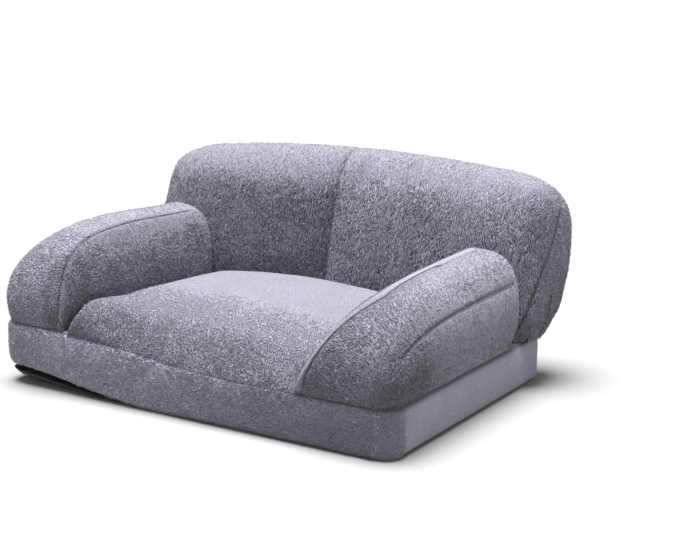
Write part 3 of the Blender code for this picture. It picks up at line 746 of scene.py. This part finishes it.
# ---- finishes
class Look:
    """A node material being put together around one Principled shader."""

    def __init__(self, name, **sockets):
        self.material = bpy.data.materials.new(name)
        self.material.use_nodes = True
        self.tree = self.material.node_tree
        self.shader = self.tree.nodes["Principled BSDF"]
        for socket, value in sockets.items():
            self.shader.inputs[socket.replace("_", " ")].default_value = value

    def node(self, kind, values=None, links=None, **settings):
        """New node; values and links go to its inputs, and settings to the node itself."""
        made = self.tree.nodes.new("ShaderNode" + kind)
        for key, value in settings.items():
            setattr(made, key, value)
        for key, value in (values or {}).items():
            made.inputs[key].default_value = value
        for key, out in (links or {}).items():
            self.tree.links.new(out, made.inputs[key])
        return made

    def places(self, scale=(1, 1, 1)):
        source = self.node("TexCoord").outputs["Object"]
        return self.node("Mapping", {"Scale": scale}, {"Vector": source}).outputs["Vector"]

    def noise(self, scale, detail=2.0, rough=0.5, places=None):
        return self.node("TexNoise", {"Scale": scale, "Detail": detail, "Roughness": rough},
                         {"Vector": places or self.places()}).outputs["Fac"]

    def swirled(self, places, scale, amount):
        """Places moved about by a smooth random field of that scale, by about that amount."""
        wander = self.node("TexNoise", {"Scale": scale, "Detail": 1.0}, {"Vector": places})
        shift = self.node("VectorMath", {1: (-0.5, -0.5, -0.5)}, {0: wander.outputs["Color"]},
                          operation="ADD")
        size = self.node("VectorMath", {"Scale": amount}, {0: shift.outputs[0]},
                         operation="SCALE")
        return self.node("VectorMath", None, {0: places, 1: size.outputs[0]},
                         operation="ADD").outputs[0]

    def streaks(self, places, across, along):
        """Noise squeezed across the pile and drawn out along it."""
        stretched = self.node("VectorMath", {1: (across, along, 1.0)}, {0: places},
                              operation="MULTIPLY")
        return self.noise(1.0, 1.0, 0.5, stretched.outputs[0])

    def ribs(self, scale, wobble, direction):
        return self.node("TexWave", {"Scale": scale, "Distortion": wobble},
                         {"Vector": self.places()}, bands_direction=direction).outputs["Fac"]

    def value(self, name):
        return self.node("Attribute", attribute_name=name).outputs["Fac"]

    def math(self, operation, a, b, clamp=False):
        made = self.node("Math", operation=operation, use_clamp=clamp)
        for k, item in enumerate((a, b)):
            if isinstance(item, (int, float)):
                made.inputs[k].default_value = item
            else:
                self.tree.links.new(item, made.inputs[k])
        return made.outputs[0]

    def blend(self, a, share_a, b, share_b):
        """Sum of two outputs, each times its share."""
        return self.math("ADD", self.math("MULTIPLY", a, share_a),
                         self.math("MULTIPLY", b, share_b))

    def ramp(self, factor, stops):
        made = self.node("ValToRGB", None, {"Fac": factor})
        ramp = made.color_ramp
        while len(ramp.elements) < len(stops):
            ramp.elements.new(0.5)
        for element, (place, colour) in zip(ramp.elements, stops):
            element.position = place
            element.color = (*colour, 1.0)
        return made.outputs["Color"]

    def range(self, factor, low, high, start=0.0, end=1.0):
        return self.node("MapRange", {"From Min": start, "From Max": end, "To Min": low,
                                      "To Max": high}, {"Value": factor}).outputs["Result"]

    def painted_shades(self, colour, painted_shading):
        """Colour made paler or darker where light and shade are painted in, for how the light
        falls.
        """
        by = self.range(painted_shading, 0.42, 1.78, -2.0, 2.4)
        return self.node("VectorMath", None, {0: colour, "Scale": by},
                         operation="SCALE").outputs[0]

    def bump(self, height, strength, distance):
        return self.node("Bump", {"Strength": strength, "Distance": distance},
                         {"Height": height}).outputs["Normal"]

    def finish(self, colour, roughness=None, normal=None):
        for out, socket in ((colour, "Base Color"), (roughness, "Roughness"), (normal, "Normal")):
            if out is not None:
                self.tree.links.new(out, self.shader.inputs[socket])
        return self.material


PLUSH = (0.175, 0.171, 0.205)
FUR = {"Roughness": 0.92, "Sheen_Weight": 0.30, "Sheen_Roughness": 0.45,
       "Sheen_Tint": (0.93, 0.92, 1.0, 1.0), "Specular_IOR_Level": 0.15}


def shades(*stops):
    """Stops of a colour ramp, each the plush's own colour times a number."""
    return [(place, tuple(c * by for c in PLUSH)) for place, by in stops]


def plush():
    """Matted plush. Fine strokes run along the pile in the cushion's own chart, bent by two
    sizes of swirl. Their streaks are the pile's own; the darker colour between them is painted
    shade and the paler colour at their tips painted highlight. They are stronger where the pile
    is coarse, and they also raise the bump. A slow change of tone lies under them."""
    look = Look("grey_lavender_plush", **FUR)
    coarse = look.value("coarse")
    chart = look.node("Attribute", attribute_name="chart").outputs["Vector"]
    bent = look.swirled(look.swirled(chart, 17.0, 0.022), 85.0, 0.0062)
    across = look.node("SeparateXYZ", None, {0: bent}).outputs["X"]
    phase = look.blend(across, 2950.0, look.streaks(bent, 300.0, 170.0), 17.0)
    strokes = look.range(look.streaks(bent, 1250.0, 280.0), -1.0, 1.0, 0.38, 0.62)
    both = look.blend(look.math("SINE", phase, 0.0), 0.72, strokes, 0.48)
    shade = look.blend(both, look.range(coarse, 0.11, 0.85), look.value("pile"), 0.17)
    slow = look.range(look.noise(24.0), -0.035, 0.035, 0.3, 0.7)
    shade = look.math("ADD", look.math("ADD", shade, slow), 0.5, clamp=True)
    colour = look.ramp(shade, shades((0.0, 0.22), (0.3, 0.68), (0.55, 1.08), (1.0, 1.9)))
    relief = look.math("MULTIPLY", both, look.range(coarse, 0.25, 1.0))
    # colour scaled by the light and shade painted in at each point
    return look.finish(look.painted_shades(colour, look.value("painted_shading")),
                       look.range(strokes, 0.84, 0.98, -1.0, 1.0),
                       look.bump(relief, 0.7, 0.0006))


def pile_tufts():
    """Loose tufts of the same plush, each of its own tone, with painted highlight towards its tip
    and painted shade at its root.
    """
    look = Look("grey_lavender_pile", **FUR)
    fine = look.noise(1300.0, 2.0, 0.6)
    shade = look.math("ADD", look.math("MULTIPLY", look.value("pile"), 0.17),
                      look.range(fine, 0.46, 0.60, 0.3, 0.7), clamp=True)
    colour = look.ramp(shade, shades((0.0, 0.30), (0.3, 0.72), (0.55, 1.12), (1.0, 1.9)))
    # colour scaled by the light and shade painted in at each point
    return look.finish(look.painted_shades(colour, look.value("painted_shading")),
                       look.range(fine, 0.84, 0.98, 0.3, 0.7), look.bump(fine, 0.3, 0.0002))


def woven_black():
    """Grippy underside: a fine plain weave, paler grey on its high threads."""
    look = Look("black_grip_cloth", Roughness=0.7, Sheen_Weight=0.12, Specular_IOR_Level=0.3)
    weave = look.math("MULTIPLY", look.ribs(320.0, 0.4, "X"), look.ribs(320.0, 0.4, "Y"))
    shade = look.blend(weave, 0.6, look.noise(60.0, 4.0), 0.4)
    colour = look.ramp(shade, [(0.1, (0.0035, 0.0035, 0.0038)), (0.9, (0.020, 0.020, 0.022))])
    return look.finish(colour, look.range(shade, 0.62, 0.88), look.bump(weave, 0.6, 0.0004))


def zip_cloth():
    """Zip tape: a twill of fine slanted ribs."""
    look = Look("zip_tape_twill", Roughness=0.85, Sheen_Weight=0.2)
    ribs = look.ribs(380.0, 0.6, "DIAGONAL")
    shade = look.blend(ribs, 0.7, look.noise(150.0, 3.0), 0.3)
    return look.finish(look.ramp(shade, shades((0.1, 0.45), (0.9, 1.0))),
                       look.range(shade, 0.75, 0.95), look.bump(ribs, 0.5, 0.0003))


def brushed_metal():
    """Zinc slider: long fine scratches along it and duller, darker patches of wear."""
    look = Look("zip_zinc", Metallic=1.0, Roughness=0.35)
    grain = look.noise(900.0, 4.0, 0.6, look.places((0.12, 1, 1)))
    patches = look.noise(260.0, 3.0)
    colour = look.ramp(patches, [(0.3, (0.25, 0.25, 0.27)), (0.7, (0.42, 0.42, 0.45))])
    rough = look.range(look.blend(grain, 0.6, patches, 0.4), 0.22, 0.5, 0.3, 0.7)
    return look.finish(colour, rough, look.bump(grain, 0.25, 0.0001))


def mottled(name, scale, detail, stops, rough, relief, **sockets):
    """Small part: one noise carries its colour, its roughness and its bump."""
    look = Look(name, **sockets)
    patches = look.noise(scale, detail)
    return look.finish(look.ramp(patches, stops), look.range(patches, *rough),
                       look.bump(patches, *relief))


LOOKS = {
    "plush": plush(), "tufts": pile_tufts(), "grip": woven_black(), "tape": zip_cloth(),
    "metal": brushed_metal(),
    "rubber": mottled("rubber_dots", 240.0, 3.0,
                      [(0.3, (0.006, 0.006, 0.007)), (0.8, (0.022, 0.022, 0.024))],
                      (0.45, 0.7), (0.3, 0.0002), Roughness=0.55, Specular_IOR_Level=0.4),
    "thread": mottled("seam_thread", 1600.0, 2.0, shades((0.3, 0.26), (0.75, 0.55)),
                      (0.7, 0.92), (0.5, 0.0002), Roughness=0.8, Sheen_Weight=0.2),
    "nylon": mottled("zip_nylon", 420.0, 3.0, shades((0.3, 0.6), (0.75, 1.2)),
                     (0.32, 0.55), (0.15, 0.0001), Roughness=0.4, Specular_IOR_Level=0.5),
}


# ---- cushions
def laid(net, wanted, wrap=False):
    """Angle on the net of the pile direction wanted, from its parts along both ways."""
    first, second, normal = directions(net, wrap)
    a = unit(first)
    b = unit(second - a * (a * second).sum(-1, keepdims=True))
    return np.arctan2((wanted * b).sum(-1), (wanted * a).sum(-1))


def closing(n, m, closed_by):
    """Rings of a net's point numbers that close it: two rims, a start and an end with one long
    face between them, or all its edges together, with or without a face of its own behind."""
    start, end = np.arange(n) * m, np.arange(n)[::-1] * m + m - 1
    row, last = np.arange(m), (n - 1) * m
    if closed_by == "rims":
        return [start, end]
    if closed_by == "ends":
        return [row, last + row, joined([start, end])]
    edges = [row, np.arange(1, n) * m + m - 1, last + np.arange(m - 1)[::-1]]
    if closed_by == "arm":
        return [joined(edges), start]
    return [joined([*edges, np.arange(1, n - 1)[::-1] * m])]


def cushion(name, form, seams, pile_way, coarseness, seed, nodes, tuft_count, closed_by,
            painted_shading, lie, wrap=False, ridge=None, sunk=None, inset=START_INSET, faint=1.0,
            depths=(0.0020, 0.0014), cell=CELL):
    """One stuffed piece and its tufts. At every point, pile_way(net) gives the way the pile
    lies, coarseness(net) how rough it is, 0 to 1, the shading function the light and shade
    painted into the colour there for how the light falls, ridge(net) a rolled edge's height,
    and sunk(net) is 1 where the net is hidden in a slot."""
    rng = np.random.default_rng(seed)
    net, away = padded_net(form, seams, wrap, depths, inset, cell)
    _, _, normal = directions(net, wrap)
    if ridge is not None:
        net = net + normal * ridge(net)[..., None]
    _, _, normal = directions(net, wrap)
    rough = coarseness(net)
    n, m = net.shape[:2]
    angle = laid(net, pile_way(net), wrap)
    angle = angle + 0.75 * soft_noise((n, m), 9, rng, wrap) + 0.45 * soft_noise(
        (n, m), 24, rng, wrap)
    streak = strokes(net, angle, rng, 0.0055, wrap)
    hidden = 1.0 if sunk is None else 1 - sunk(net)
    relief = 0.00017 * streak * (0.2 + 0.9 * rough) * hidden
    relief = relief * (1 - bell(away, 0, 0.002))
    lumps = 0.0007 * soft_noise((n, m), 34, rng, wrap) * hidden
    lumps[:, :3] = lumps[:, -3:] = 0
    relief[:, :1] = relief[:, -1:] = 0
    body = net + normal * (relief + lumps)[..., None]
    body[..., 2] = np.maximum(body[..., 2], 0.0001)
    piece = mesh_of(name, body, LOOKS["plush"], wrap, closing(n, m, closed_by))
    # streaks of the pile: their pattern is the pile's own, their darker parts painted shade and
    # their paler parts painted highlight
    shade = 0.25 * streak * (0.3 + 0.8 * rough)
    # painted shade along the seams: darkest right in them, fading over a few millimetres, scaled
    # by faint
    painted_seam_shade = 2.2 * bell(away, 0, 0.0010) + 0.6 * bell(away, 0, 0.0035)
    # painted light and shade over the net: faces made lighter or darker for how the light falls
    painted_shades = painted_shading(net) + np.zeros((n, m))
    keep_value(piece, "pile", shade - faint * painted_seam_shade)
    keep_value(piece, "painted_shading", painted_shades)
    keep_value(piece, "coarse", np.clip(rough * (1 - 0.8 * bell(away, 0, 0.0015)), 0, 1))
    keep_chart(piece, net, lie)
    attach(piece, "sofa")
    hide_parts(*nodes)
    density = np.clip(rough - 0.12, 0, 1) * hidden * (away > SEAM_CLEARANCE)
    fur = tufts(f"{name}_pile", body, angle, tuft_count, rng, density, painted_shades, wrap)
    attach(fur, "sofa")
    return body


def sewn(name, path, body):
    """Thread line lying in a seam: the seam's points taken to the nearest points of the
    finished cushion, evened out, and given a fine twist."""
    flat = body.reshape(-1, 3)
    found = []
    for k in range(0, len(path), 20):
        part = path[k:k + 20]
        low, high = part.min(0) - 0.012, part.max(0) + 0.012
        close = flat[np.all((flat > low) & (flat < high), axis=-1)]
        found.append(close[np.argmin(size_of(part[:, None] - close[None]), axis=1)])
    path = joined(found)
    for _ in range(6):
        path = averaged(path)
    length = run_of(path)
    steps = np.linspace(0, length[-1], max(int(length[-1] / THREAD_STEP), 12))
    path = np.stack([np.interp(steps, length, path[:, k]) for k in range(3)], -1)
    piece = twisted(name, path)
    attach(piece, "sofa")


# seat
def seat_way(net):
    return np.broadcast_to(np.array([-0.35, -1.0, -0.5]), net.shape)


def seat_coarse(net):
    return 0.10 + 0.9 * eased((-0.045 - net[..., 1]) / 0.12)


# painted shade: the seat's front slope darker, where less light falls than on its top
def seat_painted_shading(net):
    return -0.05 - 1.0 * eased((-0.130 - net[..., 1]) / 0.05)


cushion("seat_cushion", seat_form, [], seat_way, seat_coarse, 11,
        ["seat_top_panel", "seat_wadding"], 21000, closed_by="edges", painted_shading=seat_painted_shading, lie=70)


# arms
def arm(word, side, seed):
    """One arm, with its own coarse places, rolled edge, painted light and shade, and its two
    seams.
    """
    inner, outer = arm_seams(side)

    def beside_seam(net, aside):
        return seam_distance(net, [inner + np.array([-side * aside, 0, -0.001])])

    def band(net):
        """1 on the smooth rolled edge beside the top seam."""
        return np.exp(-(beside_seam(net, 0.0070) / 0.0062) ** 4)

    def ridge(net):
        """The rolled edge on the inner side of the top seam, fading in towards the nose."""
        share = eased((0.05 - net[..., 1]) / 0.12)
        height = 0.0024 if side > 0 else 0.0008
        return height * share * bell(beside_seam(net, 0.0065), 0, 0.0050)

    def way(net):
        inside = eased(0.5 - side * (net[..., 0] - side * ARM_MIDDLE) / 0.05)[..., None]
        return inside * np.array([0, -0.9, -1.0]) + (1 - inside) * np.array([0, -0.25, -1.0])

    def coarse(net):
        nose = eased((-0.09 - net[..., 1]) / 0.08)
        outside = eased((side * net[..., 0] - 0.216) / 0.018) * (1 - nose)
        top = eased((net[..., 2] - 0.130) / 0.016) * (1 - nose)
        plain = np.clip(0.62 + 0.3 * nose - 0.42 * outside - 0.36 * top, 0.05, 1)
        return plain * (1 - (0.95 if side > 0 else 0.2) * band(net))

    # painted light and shade: the inner faces darker; on the right arm the outer face and the nose
    # darker and the rolled edge beside the top seam paler, as the light falls
    def painted_shading(net):
        inside = eased(0.5 - (side * net[..., 0] - 0.178) / 0.010)
        if side < 0:
            return 0.35 - 1.3 * inside
        outside = eased((net[..., 0] - 0.212) / 0.022)
        nose = eased((-0.05 - net[..., 1]) / 0.08)
        return 0.9 * band(net) - 0.35 * inside + 0.15 - 1.0 * outside - 0.7 * nose

    body = cushion(f"{word}_arm", arm_form(side), [inner, outer], way, coarse, seed,
                   [f"{word}_arm_fill", f"{word}_arm_inner_panel", f"{word}_arm_top_panel",
                    f"{word}_arm_outer_panel"], 21000, closed_by="arm", painted_shading=painted_shading, lie=25,
                   ridge=ridge, faint=0.55, depths=(0.0015, 0.0010))
    sewn(f"{word}_arm_inner_seam", inner, body)
    sewn(f"{word}_arm_outer_seam", outer, body)


arm("left", -1, 21)
arm("right", 1, 22)

# backrest
centre_seam, rear_seam, left_seam, right_seam = back_seams()


def back_way(net):
    turn = np.where(net[..., 0] < 0, 1.0, -0.25)
    return np.stack([0.8 * turn, 0 * turn, -np.ones_like(turn)], -1)


def back_coarse(net):
    return 0.88 - 0.62 * eased((net[..., 2] - 0.175) / 0.035)


# painted shade: the front face darker below its top, the left half much more, and the right end
# darker
def back_painted_shading(net):
    front = np.where(net[..., 0] > 0, -0.2, -1.2) * (net[..., 1] < 0.15)
    return (front * eased((0.205 - net[..., 2]) / 0.03)
            - 0.7 * eased((net[..., 0] - 0.222) / 0.015))


body = cushion("backrest", back_form, [centre_seam, rear_seam, left_seam, right_seam], back_way,
               back_coarse, 31,
               ["left_back_fill", "right_back_fill", "left_back_front_panel",
                "right_back_front_panel", "left_back_end_panel", "right_back_end_panel",
                "back_rear_panel"], 46000, closed_by="ends", painted_shading=back_painted_shading, lie=80,
               cell=BACK_CELL)
sewn("backrest_centre_seam", centre_seam, body)
sewn("backrest_top_seam", rear_seam, body)
sewn("backrest_left_end_seam", left_seam, body)
sewn("backrest_right_end_seam", right_seam, body)


# base
def base_way(net):
    """Outwards from the middle along the front, rearwards along the sides, and down."""
    x, y = net[..., 0], net[..., 1]
    corner_x = HALF_WIDTH - CORNER_RADIUS + 0.006
    way = np.where(x > 0, np.where(x > corner_x, 1.0, -1.0), np.where(x < -corner_x, -1.0, 1.0))
    front = np.where(y < FRONT_Y + CORNER_RADIUS, 1.0, 0.0)
    return np.stack([way * front * 0.9, (1 - front) * 0.8, -np.ones_like(x)], -1)


def base_coarse(net):
    corner = bell(np.abs(net[..., 0]), 0.225, 0.03)
    front = eased((-0.155 - net[..., 1]) / 0.02)
    right = eased((net[..., 0] - 0.05) / 0.12)
    return np.clip(0.05 + front * (0.50 + 0.28 * right + 0.3 * corner), 0, 1)


def slot_hidden(net):
    """1 inside the zip's slot, 0 elsewhere."""
    inside = (net[..., 1] < BACK_Y - 0.0045) & (net[..., 1] > BACK_Y - 0.012)
    inside &= np.abs(net[..., 2] - ZIP_HEIGHT) < ZIP_OPENING / 2
    return (inside & (np.abs(net[..., 0]) < ZIP_REACH)).astype(float)


# painted light and shade: the sides and the left of the front paler, the top edge of the border
# darker where the seat and arms shade it
def base_painted_shading(net):
    x, y, z = net[..., 0], net[..., 1], net[..., 2]
    top_edge_shade = eased((z - BORDER_TOP - crest(x, y) - rise(x, y) + 0.007) / 0.005)
    front = eased((-0.140 - y) / 0.035) * (-0.2 + 1.8 * eased((0.16 - x) / 0.27))
    return 0.7 + front - 2.0 * top_edge_shade


cushion("base_cushion", base_form, base_seams(), base_way, base_coarse, 41,
        ["base_foam", "front_border", "left_border", "right_border", "rear_border_lower",
         "rear_border_upper"], 26000, closed_by="rims", painted_shading=base_painted_shading, lie=35, wrap=True,
        sunk=slot_hidden, inset=0.0006, faint=0.5, depths=(0.0011, 0.0008))


# ---- underside
def edge_distance(x, y):
    """Distance from a point of the plan in to its rounded outline."""
    ahead = np.minimum(y - FRONT_Y, BACK_Y - y)
    aside = HALF_WIDTH - np.abs(x)
    round_part = CORNER_RADIUS - np.hypot(CORNER_RADIUS - ahead, CORNER_RADIUS - aside)
    straight = np.minimum(ahead, aside)
    return np.where((ahead > CORNER_RADIUS) | (aside > CORNER_RADIUS), straight, round_part)


def under_height(x, y):
    """Underside: flat just over the floor, curving up to its seam with the square of how
    far a point is into the curl."""
    reach = 0.008 + 0.030 * (rise(x, y) / CORNER_RISE) ** 5
    start = 0.006 - 0.004 * eased(rise(x, y) / 0.007)
    share = np.clip(1 - (edge_distance(x, y) - start) / reach, 0, 1)
    top = foot_height(x, y) + 0.0022 * eased(rise(x, y) / 0.006)
    return FLOOR_GAP + (top - FLOOR_GAP) * quarter(share)


def underside():
    """Black sheet under the base: its rounded plan, less its inset, laid at its own height."""
    inset = UNDER_INSET
    v = np.sin(np.linspace(-np.pi / 2, np.pi / 2, 110))[None, :]
    u = np.sin(np.linspace(-np.pi / 2, np.pi / 2, 150))[:, None]
    y = (FRONT_Y + BACK_Y) / 2 + (BASE_DEPTH / 2 - inset) * v
    radius = CORNER_RADIUS - inset
    into = np.maximum(radius - np.minimum(y - FRONT_Y - inset, BACK_Y - inset - y), 0)
    half = HALF_WIDTH - inset - radius + np.sqrt(np.maximum(radius ** 2 - into ** 2, 0))
    x = half * u
    y = y + 0 * u
    curl = eased(rise(x, y) / 0.007)
    x = x - 0.0045 * curl * eased((-0.205 - x) / 0.03)
    y = y - 0.0045 * curl * eased((FRONT_Y + 0.035 - y) / 0.03)
    sheet = mesh_of("bottom_fabric", stack(x, y, under_height(x, y), lift=False),
                    LOOKS["grip"])
    face_out(sheet.data, lambda bm: sum(f.normal.z for f in bm.faces) > 0)
    wall = sheet.modifiers.new("cloth", "SOLIDIFY")
    wall.thickness, wall.offset = 0.0012, -1.0
    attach(sheet, "sofa")
    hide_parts("bottom_panel")
    return sheet


def grip_dots():
    """Rubber dots pressed onto the underside in staggered rows: low domes of two rings."""
    rows = np.arange(-0.18, 0.14, DOT_PITCH * 0.866)
    columns = np.arange(-0.235, 0.236, DOT_PITCH)
    spots = joined([np.stack([columns + (k % 2) * DOT_PITCH / 2, 0 * columns + y], -1)
                            for k, y in enumerate(rows)])
    spots = spots[edge_distance(spots[:, 0], spots[:, 1]) > 0.007]
    count = len(spots)
    turn = np.linspace(0, 2 * np.pi, 8, endpoint=False)
    circle = np.stack([np.cos(turn), np.sin(turn)], -1)[None]
    points = joined([
        joined([spots[:, None] + DOT_RADIUS * size * circle,
                        np.full((count, 8, 1), drop)], -1)
        for size, drop in ((1.0, 0.0003), (0.7, -0.0006))], axis=1)
    points[..., 2] += under_height(points[..., 0], points[..., 1])
    k = np.arange(8)
    wall = np.stack([k, k + 8, (k + 1) % 8 + 8, (k + 1) % 8], -1)
    first = np.arange(count)[:, None] * 16
    corners = joined([(first[..., None] + wall).ravel(), (first + 8 + k[::-1]).ravel(),
                              (first + k).ravel()])
    sizes = joined([np.full(count * 8, 4), np.full(count * 2, 8)])
    mesh = filled("grip_dots", points, corners, sizes)
    face_out(mesh, lambda bm: False)
    mesh.shade_smooth()
    mesh.materials.append(LOOKS["rubber"])
    dots = placed("grip_dots", mesh)
    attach(dots, "sofa")
    return dots


sheet = underside()
dots = grip_dots()

# ---- zip finishes
for name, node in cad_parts.items():
    for word, look in (("zip_tape", "tape"), ("zip_teeth", "nylon"), ("zip_stop", "metal"),
                       ("zip_slider", "metal"), ("zip_pull", "metal")):
        if name.startswith(word):
            for slot in node.material_slots:
                slot.material = LOOKS[look]

# ---- floor, light and camera
FLOOR_REACH, FLOOR_HEIGHT = 30, -0.0006
floor = bpy.data.meshes.new("floor")
floor.from_pydata([(FLOOR_REACH * x, FLOOR_REACH * y, FLOOR_HEIGHT)
                   for x, y in ((-1, -1), (1, -1), (1, 1), (-1, 1))], [], [(0, 1, 2, 3)])
floor = placed("floor", floor)
paper = Look("pale_floor", Roughness=0.9)
floor.data.materials.append(paper.finish(paper.ramp(
    paper.noise(3.0), [(0.3, (0.286, 0.286, 0.286)), (0.7, (0.292, 0.292, 0.292))])))

world = bpy.data.worlds.new("studio")
bpy.context.scene.world = world
world.use_nodes = True
background = world.node_tree.nodes["Background"]
background.inputs["Color"].default_value = (1.0, 1.0, 1.0, 1.0)
background.inputs["Strength"].default_value = 0.30

for name, direction, strength, spread in (("overhead", (0.13, -0.05, -1.0), 9.6, 34),
                                          ("front_fill", (-0.25, 1.0, -0.14), 0.62, 70),
                                          ("right_fill", (-1.0, 0.30, -0.22), 0.85, 50)):
    lamp = bpy.data.lights.new(name, "SUN")
    lamp.energy, lamp.angle = strength, math.radians(spread)
    placed(name, lamp).rotation_euler = Vector(direction).to_track_quat("-Z", "Y").to_euler()

AZIMUTH, ELEVATION, DISTANCE = math.radians(33.3), math.radians(13.5), 1.612
LOOK_AT = Vector((0, 0, 0.100))
camera = bpy.data.cameras.new("camera")
camera.sensor_width = 36.0
camera.sensor_fit = "HORIZONTAL"
camera.lens = 79.6877761
camera.shift_x, camera.shift_y = 0.0832106, 0.0250368
camera = placed("camera", camera)
back = Vector((math.sin(AZIMUTH) * math.cos(ELEVATION),
               -math.cos(AZIMUTH) * math.cos(ELEVATION), math.sin(ELEVATION)))
camera.location = LOOK_AT + back * DISTANCE
camera.rotation_euler = back.to_track_quat("Z", "Y").to_euler()
bpy.context.scene.camera = camera
bpy.context.scene.view_settings.view_transform = "Standard"
